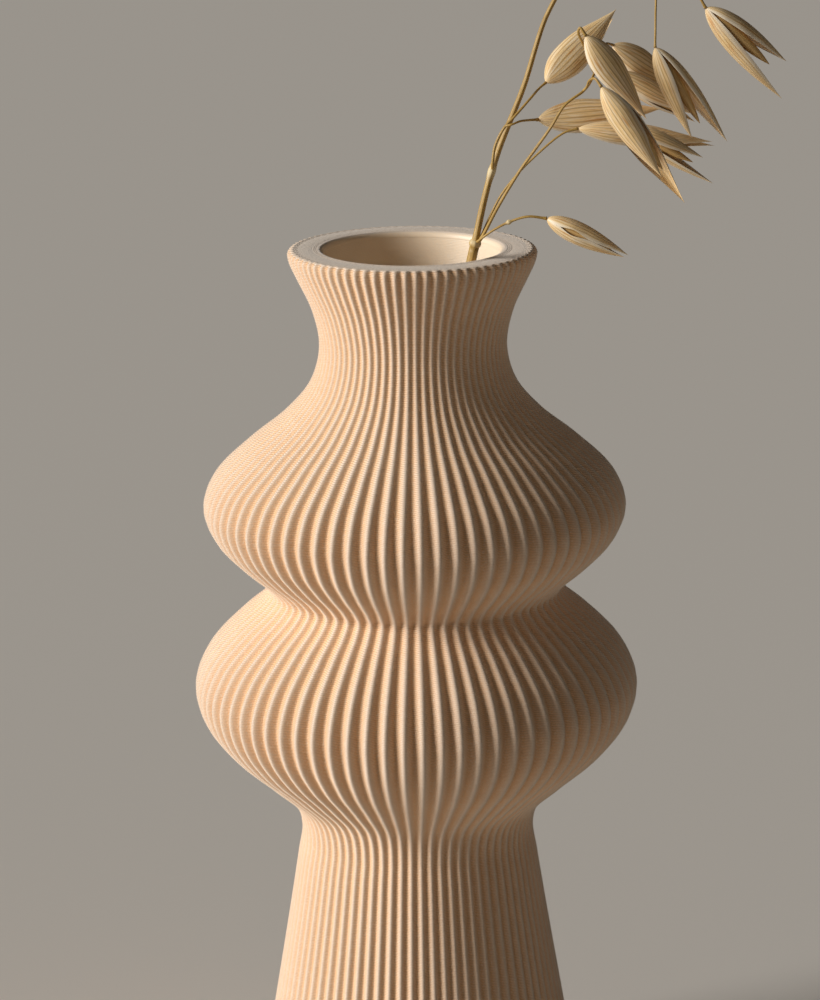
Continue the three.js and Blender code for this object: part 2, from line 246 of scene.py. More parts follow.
def add_sun():
    data = bpy.data.lights.new("key_light", "SUN")
    data.energy = SUN_STRENGTH
    data.angle = math.radians(SUN_SOFTNESS)
    data.color = SUN_COLOUR
    sun = bpy.data.objects.new("key_light", data)
    bpy.context.scene.collection.objects.link(sun)
    heading = math.radians(SUN_HEADING)
    height = math.radians(SUN_HEIGHT)
    towards = Vector((
        -math.sin(heading) * math.cos(height),
        -math.cos(heading) * math.cos(height),
        math.sin(height),
    ))
    sun.rotation_mode = "QUATERNION"
    sun.rotation_quaternion = towards.to_track_quat("Z", "Y")


def add_sky():
    world = bpy.data.worlds.new("studio")
    world.use_nodes = True
    background = world.node_tree.nodes["Background"]
    background.inputs["Color"].default_value = (*SKY_COLOUR, 1)
    background.inputs["Strength"].default_value = SKY_STRENGTH
    bpy.context.scene.world = world
    bpy.context.scene.view_settings.view_transform = "Standard"


# ------------------------------------------------------------------ material helpers

class Nodes:
    """A material under construction: add() makes a node, and link() joins two sockets."""

    def __init__(self, name):
        self.material = bpy.data.materials.new(name)
        self.material.use_nodes = True
        self.tree = self.material.node_tree
        self.surface = self.tree.nodes["Principled BSDF"]

    def add(self, kind, **settings):
        node = self.tree.nodes.new("ShaderNode" + kind)
        for name, value in settings.items():
            setattr(node, name, value)
        return node

    def link(self, output, target):
        self.tree.links.new(output, target)

    def attribute(self, name, output="Fac"):
        return self.add("Attribute", attribute_name=name).outputs[output]

    def place(self, stretch):
        """The point on the surface in metres, stretched along each axis."""
        mapping = self.add("Mapping")
        mapping.inputs["Scale"].default_value = stretch
        self.link(self.add("TexCoord").outputs["Object"], mapping.inputs["Vector"])
        return mapping.outputs["Vector"]

    def noise(self, place, scale, detail=2.0, roughness=0.5):
        node = self.add("TexNoise")
        node.inputs["Scale"].default_value = scale
        node.inputs["Detail"].default_value = detail
        node.inputs["Roughness"].default_value = roughness
        self.link(place, node.inputs["Vector"])
        return node.outputs["Fac"]

    def spread(self, value, low, high, new_low=0.0, new_high=1.0):
        """value, moved from low..high to new_low..new_high and held there."""
        node = self.add("MapRange")
        limits = {"From Min": low, "From Max": high, "To Min": new_low, "To Max": new_high}
        for socket, number in limits.items():
            node.inputs[socket].default_value = number
        self.link(value, node.inputs["Value"])
        return node.outputs["Result"]

    def even(self, noise, new_low=0.0, new_high=1.0):
        """A noise, most of which lies in NOISE_RANGE, moved to new_low..new_high."""
        return self.spread(noise, *NOISE_RANGE, new_low, new_high)

    def weaken(self, share, most):
        """A share from 0 to 1, moved to 0..most."""
        return self.spread(share, 0, 1, 0, most)

    def maths(self, operation, first, second):
        node = self.add("Math", operation=operation)
        for socket, value in zip(node.inputs, (first, second)):
            if isinstance(value, (int, float)):
                socket.default_value = value
            else:
                self.link(value, socket)
        return node.outputs["Value"]

    def mix(self, share, first, second):
        node = self.add("Mix", data_type="RGBA")
        if isinstance(share, (int, float)):
            node.inputs["Factor"].default_value = share
        else:
            self.link(share, node.inputs["Factor"])
        sockets = [s for s in node.inputs if s.type == "RGBA"]
        for socket, colour in zip(sockets, (first, second)):
            if isinstance(colour, tuple):
                socket.default_value = (*colour, 1)
            else:
                self.link(colour, socket)
        return [s for s in node.outputs if s.type == "RGBA"][0]

    def bump(self, height, distance, strength=1.0, normal=None):
        node = self.add("Bump")
        node.inputs["Distance"].default_value = distance * MM
        node.inputs["Strength"].default_value = strength
        self.link(height, node.inputs["Height"])
        if normal is not None:
            self.link(normal, node.inputs["Normal"])
        return node.outputs["Normal"]

    def sheen(self, weight, roughness, tint):
        self.surface.inputs["Sheen Weight"].default_value = weight
        self.surface.inputs["Sheen Roughness"].default_value = roughness
        self.surface.inputs["Sheen Tint"].default_value = (*tint, 1)

    def finish(self, colour, roughness, normal):
        self.link(colour, self.surface.inputs["Base Color"])
        self.link(roughness, self.surface.inputs["Roughness"])
        self.link(normal, self.surface.inputs["Normal"])
        return self.material


# ------------------------------------------------------------------ materials
#
# The scales of the noises are in features to a metre, or to a unit of the attribute "fibre".

NOISE_RANGE = (0.3, 0.7)
EVERYWHERE_ALIKE = (1, 1, 1)
ALONG_LAYERS = (0.02, 0.02, 1)  # changes quickly upwards and slowly round the vase

# The crests' tones are pale and the valleys' tone is deep orange. This is partly the plastic's colour,
# and partly a painted highlight on the crests and painted warm bounce light between the ribs.
PLASTIC_PALE = (0.86, 0.72, 0.59)
PLASTIC_DEEP = (0.80, 0.63, 0.49)
PLASTIC_VALLEY_PAINTED_BOUNCE = (0.97, 0.565, 0.27)
PLASTIC_GROOVE_SHADE = (0.50, 0.30, 0.15)
PLASTIC_SPECKLE = (0.92, 0.80, 0.66)
PLASTIC_INSIDE_PAINTED_LIGHT = (0.95, 0.76, 0.55)
PLASTIC_RIM = (0.88, 0.72, 0.57)
PLASTIC_SCRATCH = (0.55, 0.40, 0.28)
PLASTIC_SHEEN_TINT = (1.0, 0.95, 0.88)
LAYER_TONE_SCALE = 1600
LAYER_TONE_SHARE = 0.55
CLOUD_SCALE = 45
CLOUD_SHARE = 0.45
VALLEY_POWER = 0.6  # below 1, the valleys' painted bounce light reaches further up the ribs and the crests' painted highlight is thinner
VALLEY_BOUNCE_COVER = 0.9
GROOVE_SHADE_COVER = 0.75
RIM_COVER = 0.75
SPECKLE_SCALE = 2600
SPECKLE_COVER = 0.35
SCRATCH_SCALE = 1500
SCRATCH_COVER = 0.55
SCRATCH_DEPTH = 0.25
PLASTIC_GRAIN_SCALE = 4200
PLASTIC_GRAIN_DEPTH = 0.03


def printed_plastic():
    """Matte cream filament: layers of slightly different tone, fine grain and a scratched rim, with
    painted light: a painted highlight on the crests, painted warm bounce light in the valleys, painted
    light on the inner wall and painted shade in the lines between layers.
    """
    nodes = Nodes("printed_plastic")
    everywhere = nodes.place(EVERYWHERE_ALIKE)
    layers = nodes.noise(nodes.place(ALONG_LAYERS), LAYER_TONE_SCALE, 3.0)
    clouds = nodes.noise(everywhere, CLOUD_SCALE)
    layer_tone = nodes.even(layers, 0, LAYER_TONE_SHARE)
    tone = nodes.maths("ADD", layer_tone, nodes.even(clouds, 0, CLOUD_SHARE))
    colour = nodes.mix(tone, PLASTIC_PALE, PLASTIC_DEEP)
    # Painted light: the valleys take a deeper orange as painted warm bounce light, and the crests stay
    # pale as a painted highlight.
    valley = nodes.maths("POWER", nodes.attribute("valley"), VALLEY_POWER)
    colour = nodes.mix(nodes.weaken(valley, VALLEY_BOUNCE_COVER), colour, PLASTIC_VALLEY_PAINTED_BOUNCE)
    # Painted shade: the lines between layers are darkened, more in the valleys and on upright walls, on
    # top of the shade that their cut already casts.
    groove = nodes.attribute("groove")
    colour = nodes.mix(nodes.weaken(groove, GROOVE_SHADE_COVER), colour, PLASTIC_GROOVE_SHADE)
    # Painted light: the inner wall gets a lighter, warmer colour than the shading alone gives it.
    colour = nodes.mix(nodes.weaken(nodes.attribute("inside"), 1.0), colour, PLASTIC_INSIDE_PAINTED_LIGHT)
    on_rim = nodes.attribute("rim_top")
    colour = nodes.mix(nodes.weaken(on_rim, RIM_COVER), colour, PLASTIC_RIM)
    speckle = nodes.noise(everywhere, SPECKLE_SCALE, 2.0)
    colour = nodes.mix(nodes.spread(speckle, 0.5, 0.7, 0, SPECKLE_COVER), colour, PLASTIC_SPECKLE)
    scratches = nodes.maths("MULTIPLY", on_rim, nodes.noise(everywhere, SCRATCH_SCALE, 3.0, 0.65))
    scratched = nodes.spread(scratches, 0.45, 0.65, 0, SCRATCH_COVER)
    colour = nodes.mix(scratched, colour, PLASTIC_SCRATCH)
    grain = nodes.noise(everywhere, PLASTIC_GRAIN_SCALE, 2.0)
    normal = nodes.bump(grain, PLASTIC_GRAIN_DEPTH, 0.5)
    normal = nodes.bump(scratches, SCRATCH_DEPTH, 0.6, normal)
    roughness = nodes.even(clouds, 0.42, 0.52)
    nodes.surface.inputs["Specular IOR Level"].default_value = 0.5
    nodes.sheen(0.45, 0.4, PLASTIC_SHEEN_TINT)
    return nodes.finish(colour, roughness, normal)


STRAW_PALE = (0.62, 0.40, 0.11)
STRAW_DEEP = (0.30, 0.16, 0.03)
STRAW_WHITE = (0.88, 0.72, 0.42)
STRAW_STREAK_SCALE = 8.0
STRAW_STREAK_SHARE = 0.75
STRAW_PATCH_SCALE = 160
STRAW_PATCH_SHARE = 0.25
STRAW_WHITE_COVER = 0.75
STRAW_STREAK_DEPTH = 0.06


def straw():
    """Dry golden straw, streaked and finely ridged along its length, and whitish at its knots."""
    nodes = Nodes("straw")
    fibre = nodes.attribute("fibre", "Vector")
    streaks = nodes.noise(fibre, STRAW_STREAK_SCALE, 4.0, 0.6)
    patches = nodes.noise(nodes.place(EVERYWHERE_ALIKE), STRAW_PATCH_SCALE)
    streak_tone = nodes.spread(streaks, 0.38, 0.62, 0, STRAW_STREAK_SHARE)
    tone = nodes.maths("ADD", streak_tone, nodes.even(patches, 0, STRAW_PATCH_SHARE))
    colour = nodes.mix(tone, STRAW_PALE, STRAW_DEEP)
    pale = nodes.weaken(nodes.attribute("pale"), STRAW_WHITE_COVER)
    colour = nodes.mix(pale, colour, STRAW_WHITE)
    normal = nodes.bump(streaks, STRAW_STREAK_DEPTH, 0.6)
    roughness = nodes.even(streaks, 0.38, 0.55)
    nodes.surface.inputs["Specular IOR Level"].default_value = 0.5
    return nodes.finish(colour, roughness, normal)


HUSK_PALE = (0.88, 0.62, 0.30)
HUSK_DEEP = (0.42, 0.23, 0.07)
HUSK_SILVER = (0.95, 0.84, 0.66)
HUSK_RUST = (0.62, 0.29, 0.08)
HUSK_SHEEN_TINT = (1.0, 0.9, 0.74)
HUSK_STREAK_SCALE = 7.0
HUSK_STREAK_COVER = 0.4
HUSK_STREAK_DEPTH = 0.05
SILVER_SCALE = 3.4
SILVER_COVER = 0.7
NERVE_COVER = 0.75
RUST_SCALE = 2.7
RUST_COVER = 0.75
MARGIN_START = 0.93  # of the way from the keel to the margin, where the silver margin begins
MARGIN_COVER = 0.8


def husk():
    """Papery husk: pale and silvery, with darker nerves, silver margins and rusty streaks."""
    nodes = Nodes("husk")
    fibre = nodes.attribute("fibre", "Vector")
    streaks = nodes.noise(fibre, HUSK_STREAK_SCALE, 4.0, 0.6)
    nerve = nodes.attribute("nerve")
    silver = nodes.noise(fibre, SILVER_SCALE, 3.0, 0.6)
    colour = nodes.mix(nodes.spread(silver, 0.46, 0.7, 0, SILVER_COVER), HUSK_PALE, HUSK_SILVER)
    colour = nodes.mix(nodes.spread(streaks, 0.5, 0.75, 0, HUSK_STREAK_COVER), colour, HUSK_DEEP)
    colour = nodes.mix(nodes.spread(nerve, 0.1, 0.8, 0, NERVE_COVER), colour, HUSK_DEEP)
    rust = nodes.noise(fibre, RUST_SCALE, 2.0, 0.5)
    colour = nodes.mix(nodes.spread(rust, 0.56, 0.7, 0, RUST_COVER), colour, HUSK_RUST)
    margin = nodes.spread(nodes.attribute("margin"), MARGIN_START, 1.0, 0, MARGIN_COVER)
    colour = nodes.mix(margin, colour, HUSK_SILVER)
    normal = nodes.bump(streaks, HUSK_STREAK_DEPTH, 0.6)
    roughness = nodes.even(streaks, 0.42, 0.6)
    nodes.surface.inputs["Specular IOR Level"].default_value = 0.45
    nodes.sheen(0.25, 0.35, HUSK_SHEEN_TINT)
    return nodes.finish(colour, roughness, normal)


GRAIN_PALE = (0.86, 0.56, 0.21)
GRAIN_DEEP = (0.46, 0.25, 0.08)
GRAIN_STREAK_SCALE = 6.0
GRAIN_STREAK_DEPTH = 0.05


def grain_skin():
    """Golden brown grain, streaked along its length."""
    nodes = Nodes("grain")
    fibre = nodes.attribute("fibre", "Vector")
    streaks = nodes.noise(fibre, GRAIN_STREAK_SCALE, 3.0, 0.6)
    colour = nodes.mix(nodes.even(streaks), GRAIN_PALE, GRAIN_DEEP)
    normal = nodes.bump(streaks, GRAIN_STREAK_DEPTH, 0.5)
    return nodes.finish(colour, nodes.even(streaks, 0.4, 0.55), normal)


# ------------------------------------------------------------------ meshes

def ring_stack(name, start, rings, end, material, sharp_rings=()):
    """A closed surface: rings of points, joined each to the next, and closed by fans to two points.

    rings is an array of rings x columns x 3, in millimetres. Edges along the rings listed in
    sharp_rings stay sharp, and all others are smooth."""
    count, columns = rings.shape[:2]
    points = np.vstack([[start], rings.reshape(-1, 3), [end]]) * MM
    column = np.arange(columns)
    after = (column + 1) % columns
    first = 1 + np.arange(count - 1)[:, None] * columns
    lower = (first + column, first + after)
    quads = np.stack([*lower, lower[1] + columns, lower[0] + columns], -1)
    last = 1 + (count - 1) * columns
    start_fan = np.stack([np.zeros(columns, int), 1 + after, 1 + column], -1)
    end_fan = np.stack([np.full(columns, len(points) - 1), last + column, last + after], -1)
    corners = np.concatenate([start_fan.ravel(), quads.ravel(), end_fan.ravel()])
    sizes = np.concatenate([np.full(columns, 3), np.full(quads.size // 4, 4), np.full(columns, 3)])
    mesh = bpy.data.meshes.new(name)
    mesh.vertices.add(len(points))
    mesh.vertices.foreach_set("co", points.ravel())
    mesh.loops.add(len(corners))
    mesh.loops.foreach_set("vertex_index", corners)
    mesh.polygons.add(len(sizes))
    mesh.polygons.foreach_set("loop_start", np.concatenate([[0], np.cumsum(sizes)[:-1]]))
    mesh.update(calc_edges=True)
    mesh.shade_smooth()
    if len(sharp_rings):
        mark_sharp(mesh, columns, sharp_rings)
    mesh.materials.append(material)
    piece = bpy.data.objects.new(name, mesh)
    bpy.context.scene.collection.objects.link(piece)
    return piece


def mark_sharp(mesh, columns, sharp_rings):
    ends = np.zeros(len(mesh.edges) * 2, int)
    mesh.edges.foreach_get("vertices", ends)
    ring = (ends.reshape(-1, 2) - 1) // columns
    sharp = (ring[:, 0] == ring[:, 1]) & np.isin(ring[:, 0], sharp_rings)
    mesh.attributes.new("sharp_edge", "BOOLEAN", "EDGE").data.foreach_set("value", sharp)


def store(piece, name, values):
    """Gives each point of a ring_stack() a number, or a vector, that its material reads."""
    flat = values.reshape(-1, 3) if values.ndim == 3 else values.ravel()
    padded = np.concatenate([flat[:1], flat, flat[-1:]]).astype(np.float32)
    kind, field = ("FLOAT_VECTOR", "vector") if values.ndim == 3 else ("FLOAT", "value")
    attribute = piece.data.attributes.new(name, kind, "POINT")
    attribute.data.foreach_set(field, padded.ravel())


def stand_for(piece, body, slot, *nodes):
    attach(piece, body)
    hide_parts(*nodes)


def smooth_curve(points, samples):
    """Points along a centripetal Catmull-Rom curve, samples to each span."""
    points = np.array(points, float)
    ghosts = np.vstack([2 * points[0] - points[1], points, 2 * points[-1] - points[-2]])
    shares = np.linspace(0, 1, samples, endpoint=False)[:, None]
    curve = []
    for p0, p1, p2, p3 in zip(ghosts, ghosts[1:], ghosts[2:], ghosts[3:]):
        pairs = ((p0, p1), (p1, p2), (p2, p3))
        gap0, gap1, gap2 = (np.linalg.norm(after - before) ** 0.5 for before, after in pairs)
        leave = gap1 * ((p1 - p0) / gap0 - (p2 - p0) / (gap0 + gap1) + (p2 - p1) / gap1)
        arrive = gap1 * ((p2 - p1) / gap1 - (p3 - p1) / (gap1 + gap2) + (p3 - p2) / gap2)
        bend = 3 * (p2 - p1) - 2 * leave - arrive
        twist = 2 * (p1 - p2) + leave + arrive
        curve.append(p1 + leave * shares + bend * shares ** 2 + twist * shares ** 3)
    return np.vstack([*curve, points[-1]])


# ------------------------------------------------------------------ the vase's mesh

crest_curve = smooth_curve(CREST_OUTLINE, CREST_SAMPLES)


def crest_radius(height):
    return np.interp(height, crest_curve[:, 0], crest_curve[:, 1])


def rounded_crest(height):
    """The crest's radius, with the rim's outer edge rounded and the foot's lower edge cut back."""
    above = np.clip((height - (VASE_HEIGHT - RIM_ROUNDING)) / RIM_ROUNDING, 0, 1)
    below = np.clip((FOOT_CHAMFER - height) / FOOT_CHAMFER, 0, 1)
    rounding = RIM_ROUNDING * (1 - np.sqrt(1 - above ** 2))
    return crest_radius(height) - rounding - FOOT_CHAMFER * below


cavity_points = [(level, crest_radius(level) - WALL_THICKNESS) for level in CAVITY_LEVELS]
cavity_points.append((VASE_HEIGHT - THROAT_DEPTH, THROAT_RADIUS))
cavity_points.append((VASE_HEIGHT - LIP_ROUNDING, THROAT_RADIUS))
cavity_curve = smooth_curve(cavity_points, CAVITY_SAMPLES)


def cavity_radius(height):
    return np.interp(height, cavity_curve[:, 0], cavity_curve[:, 1])


def uprightness(radius_at, height):
    """1 on an upright wall, and less the more it slopes."""
    step = LAYER_HEIGHT / 2
    slope = (radius_at(height + step) - radius_at(height - step)) / LAYER_HEIGHT
    return 1 / (1 + slope ** 2)


def layered(radius_at, low, high, outwards, groove):
    """(height, radius, cut) up a wall, two to a layer: the line between two layers, which is cut
    into the wall, and the bead's middle. outwards is 1 on an outer wall and -1 on an inner one."""
    profile = []
    last = round((high - low) / LAYER_HEIGHT * 2)
    for step in range(last + 1):
        height = low + step * LAYER_HEIGHT / 2
        radius, cut = radius_at(height), 0.0
        if step % 2 == 0 and step < last:
            beside = [np.clip(height + side, low, high) for side in (-LAYER_STEP, LAYER_STEP)]
            radius = outwards * min(outwards * radius_at(level) for level in beside)
            cut = outwards * groove * uprightness(radius_at, height)
        profile.append((height, radius, cut))
    return profile


def rib_depth(radius):
    return radius * RIB_DEPTH_RATIO * (radius / RIB_DEPTH_RADIUS) ** RIB_DEPTH_POWER


def vase_rings():
    """The vase's rings, from under the foot, up the outside, over the rim and down the inside."""
    columns = RIB_COUNT * RIB_SAMPLES
    turn = (np.arange(columns) / RIB_SAMPLES + RIB_OFFSET) / RIB_COUNT * 2 * math.pi - math.pi / 2
    crest = (1 + np.cos(np.arange(columns) / RIB_SAMPLES * 2 * math.pi)) / 2
    valley = 1 - crest
    radii, heights, sharp = [], [], []

    def add(radius, height, is_sharp=False):
        if is_sharp:
            sharp.append(len(radii))
        radii.append(np.broadcast_to(radius, columns))
        heights.append(np.full(columns, float(height)))

    foot_radius = rounded_crest(0.0)
    for share in UNDERSIDE_SHARES:
        is_ribbed = share == UNDERSIDE_SHARES[-1]
        add(foot_radius * share - rib_depth(foot_radius) * valley * is_ribbed, 0)
    groove_share = CREST_GROOVE + (1 - CREST_GROOVE) * valley
    outer_layers = layered(rounded_crest, 0.0, VASE_HEIGHT, 1, LAYER_GROOVE)
    for step, (height, radius, cut) in enumerate(outer_layers):
        fade = 1 - RIM_FADE * np.clip((height - VASE_HEIGHT) / RIM_FADE_HEIGHT + 1, 0, 1) ** 2
        is_line = step % 2 == 0 and height < VASE_HEIGHT
        add(radius - rib_depth(radius) * fade * valley - cut * groove_share, height, is_line)

    outer_rings = len(radii)
    edge_radius = rounded_crest(VASE_HEIGHT)
    edge = edge_radius - rib_depth(edge_radius) * (1 - RIM_FADE) * valley
    mouth = THROAT_RADIUS + LIP_ROUNDING
    for half_bead in range(1, 2 * OUTER_BEADS + 1):
        is_line = half_bead % 2 == 0
        add(edge - half_bead * BEAD_WIDTH / 2, VASE_HEIGHT - RIM_GROOVE * is_line, is_line)
    outer_end = edge - OUTER_BEADS * BEAD_WIDTH
    inner_end = mouth + INNER_BEADS * BEAD_WIDTH
    for span in range(1, RIM_MIDDLE_SPANS):
        add(outer_end + (inner_end - outer_end) * (span / RIM_MIDDLE_SPANS), VASE_HEIGHT)
    for half_bead in range(2 * INNER_BEADS, 0, -1):
        is_line = half_bead % 2 == 0
        add(mouth + half_bead * BEAD_WIDTH / 2, VASE_HEIGHT - RIM_GROOVE * is_line, is_line)

    inner_rings = len(radii)
    wall_top = VASE_HEIGHT - LIP_ROUNDING
    for angle in np.radians(np.arange(90, 0, -LIP_STEP)):
        add(mouth - LIP_ROUNDING * np.cos(angle), VASE_HEIGHT - LIP_ROUNDING * (1 - np.sin(angle)))
    layers_end = wall_top - INNER_LAYERS_DEPTH
    inner_layers = layered(cavity_radius, layers_end, wall_top, -1, INNER_GROOVE)
    for step, (height, radius, cut) in enumerate(reversed(inner_layers)):
        add(radius - cut, height, step % 2 == 0)
    for height in np.arange(layers_end - INNER_STEP, FLOOR_THICKNESS, -INNER_STEP):
        add(cavity_radius(height), height)
    for share in CAVITY_FLOOR_SHARES:
        add(cavity_radius(FLOOR_THICKNESS) * share, FLOOR_THICKNESS, share == 1)
    radii, heights = np.array(radii), np.array(heights)
    rings = np.stack([radii * np.cos(turn), radii * np.sin(turn), heights], -1)
    number = np.arange(len(radii))
    upright = uprightness(crest_radius, heights[:, 0])
    on_outside = number < outer_rings
    rim_start, rim_end = outer_rings - RIM_TONE_RINGS, inner_rings + RIM_TONE_RINGS
    # Masks that the material reads: valley carries the painted bounce light and leaves the crests'
    # painted highlight, groove carries the painted shade in the lines between layers, and inside
    # carries the painted light on the inner wall.
    regions = {
        "valley": on_outside[:, None] * valley,
        "groove": (np.isin(number, sharp) * on_outside * upright)[:, None] * groove_share,
        "rim_top": ((number >= rim_start) & (number < rim_end))[:, None],
        "inside": (number > rim_end)[:, None],
    }
    return rings, sharp, regions


def add_vase(material):
    rings, sharp, regions = vase_rings()
    piece = ring_stack("vase_print", (0, 0, 0), rings, (0, 0, FLOOR_THICKNESS), material, sharp)
    for name, share in regions.items():
        store(piece, name, np.broadcast_to(share * 1.0, rings.shape[:2]))
    stand_for(piece, "vase", "printed_plastic", "vase_body")


# ------------------------------------------------------------------ straw and stems

STEM_SIDES = 20
STEM_STEP = 0.35
STEM_RIDGES = 7
STEM_RIDGE_DEPTH = 0.08  # as a share of the radius
STEM_SAMPLES = 24  # to each span of a stem's route
STEM_FLARE = 0.5  # how much thicker a stem is at its root and at its end, as a share of its radius
ROOT_FLARE_LENGTH = 0.8
END_FLARE_LENGTH = 0.6
LEAST_SPANS = 4
FIRST_SIDE = (0.3, 1.0, 0.1)  # any direction that no stem starts along
FIBRE_STRETCH = 0.06  # how much slower a fibre pattern changes along a piece than across it


def evenly_spaced(curve, step):
    lengths = np.concatenate([[0], np.cumsum(np.linalg.norm(np.diff(curve, axis=0), axis=1))])
    places = np.linspace(0, lengths[-1], max(int(lengths[-1] / step), LEAST_SPANS) + 1)
    points = np.stack([np.interp(places, lengths, curve[:, axis]) for axis in range(3)], -1)
    return points, places


def side_vectors(points):
    """Two unit vectors across each point of a line, which turn as little as they can along it."""
    ahead = np.gradient(points, axis=0)
    ahead /= np.linalg.norm(ahead, axis=1)[:, None]
    side = np.cross(ahead[0], FIRST_SIDE)
    sides = []
    for direction in ahead:
        side = side - direction * (side @ direction)
        side = side / np.linalg.norm(side)
        sides.append(side)
    sides = np.array(sides)
    return sides, np.cross(ahead, sides)


def tube(name, points, places, radii, material, pale=0.0):
    """A ridged tube along evenly spaced points, with a radius, and perhaps a paleness, at each."""
    first, second = side_vectors(points)
    angle = np.arange(STEM_SIDES) / STEM_SIDES * 2 * math.pi
    ridged = 1 + STEM_RIDGE_DEPTH * np.cos(angle * STEM_RIDGES)
    cosine, sine = np.cos(angle)[None, :, None], np.sin(angle)[None, :, None]
    around = first[:, None] * cosine + second[:, None] * sine
    rings = points[:, None] + around * (radii[:, None] * ridged)[:, :, None]
    piece = ring_stack(name, points[0], rings, points[-1], material)
    fibre = (np.cos(angle), np.sin(angle), places[:, None] * FIBRE_STRETCH)
    store(piece, "fibre", np.stack(np.broadcast_arrays(*fibre), -1))
    store(piece, "pale", np.broadcast_to(np.reshape(pale, (-1, 1)), rings.shape[:2]))
    return piece


def add_culm(material):
    foot, top = np.array(CULM_FOOT), np.array(CULM_TOP)
    direction = (top - foot) / np.linalg.norm(top - foot)
    points, places = evenly_spaced(np.array([foot, top + direction * CULM_TUCK]), CULM_STEP)
    piece = tube("culm_straw", points, places, np.full(len(points), CULM_RADIUS), material)
    stand_for(piece, "sprig", "straw", "culm")

    centre = top + direction * NODE_CENTRE_ABOVE
    ends = np.array([centre - direction * NODE_HALF_LENGTH, centre + direction * NODE_HALF_LENGTH])
    points, places = evenly_spaced(ends, NODE_STEP)
    share = np.linspace(-1, 1, len(points))
    radii = NODE_END_RADIUS + (NODE_RADIUS - NODE_END_RADIUS) * (1 - share ** 2) ** NODE_ROUNDING
    piece = tube("culm_node_ring", points, places, radii, material, 0.5 + 0.5 * share)
    stand_for(piece, "sprig", "straw", "culm_node")


def add_stem(stem, material):
    foot = np.array(SPIKELETS[stem["spikelet"] - 1]["foot"], float)
    curve = smooth_curve([stem["grows_from"], *stem["route"], foot], STEM_SAMPLES)
    points, places = evenly_spaced(curve, STEM_STEP)
    share = places / places[-1]
    radii = stem["root"] + (stem["end"] - stem["root"]) * share
    root_flare = STEM_FLARE * np.exp(-places / ROOT_FLARE_LENGTH)
    end_flare = STEM_FLARE * np.exp((places - places[-1]) / END_FLARE_LENGTH)
    radii = radii * (1 + root_flare + end_flare)
    pale = np.zeros(len(places))
    for place, size, reach in stem.get("knots", ()):
        knot = np.exp(-((places - place) / reach) ** 2)
        radii = radii * (1 + size * knot)
        pale = pale + knot
    piece = tube(stem["name"] + "_stem", points, places, radii, material, pale)
    stand_for(piece, "sprig", "straw", stem["name"])


# ------------------------------------------------------------------ spikelets

HUSK_RINGS = 56
HUSK_SPAN = (0.02, 0.99)  # where a husk's first and last rings are, in half turns of a cosine
HUSK_OUTER_POINTS = 121
HUSK_INNER_POINTS = 17
HUSK_NERVES = 11
NERVE_HEIGHT = 0.05
NERVE_VARIATION = 0.15  # how far a nerve's height may be from the middle one, as a share of the highest
NERVE_VARIETY = 2.4  # how quickly the height changes from a nerve to the next
NERVE_SHARPNESS = 8
NERVE_REACH = 1.1  # the nerves end at 1 / NERVE_REACH of a husk's length
NERVE_FADE_POWER = 0.3
NEAR_WRAP = 92.0  # degrees from a husk's keel to its margin on the side that gapes
FAR_WRAP = 104.0  # and on the side where the upper husk closes over the lower
LOWER_FAR_WRAP = 90.0  # and there on the lower husk
WINDOW_PLACE = 0.33  # where a near margin draws back over the grain, as a share of the length
WINDOW_REACH = 0.13  # how far along the husk that goes, as such a share
TUCKED_WIDTH = 0.93  # the lower husk's width, as a share of the upper's
HUSK_CURL = (0.1, 0.4)  # how far a husk's tip may curl outwards
MARGIN_WAVE = 0.02  # how far its margins wave, as a share of its width
MARGIN_WAVE_RATE = (14, 22)
MARGIN_WAVE_START = (0, 6)
HUSK_FIBRE_TURN = 2.2  # how quickly the fibre pattern changes round a husk
INNER_FIBRE_SHIFT = 5  # so that the inner face of a husk has another pattern
WIDEST_SHARE = HUSK_SPREAD_POWER / (HUSK_SPREAD_POWER + HUSK_TAPER_POWER)


def rounded_shares(start, end, count):
    """Shares of a length, close together near its ends, as a column."""
    return (0.5 - 0.5 * np.cos(np.linspace(start, end, count) * math.pi))[:, None]


def husk_size(share):
    """How wide a husk is at a share of its length, as a share of its full width."""
    shape = share ** HUSK_SPREAD_POWER * (1 - share) ** HUSK_TAPER_POWER
    widest = WIDEST_SHARE ** HUSK_SPREAD_POWER * (1 - WIDEST_SHARE) ** HUSK_TAPER_POWER
    return shape / widest


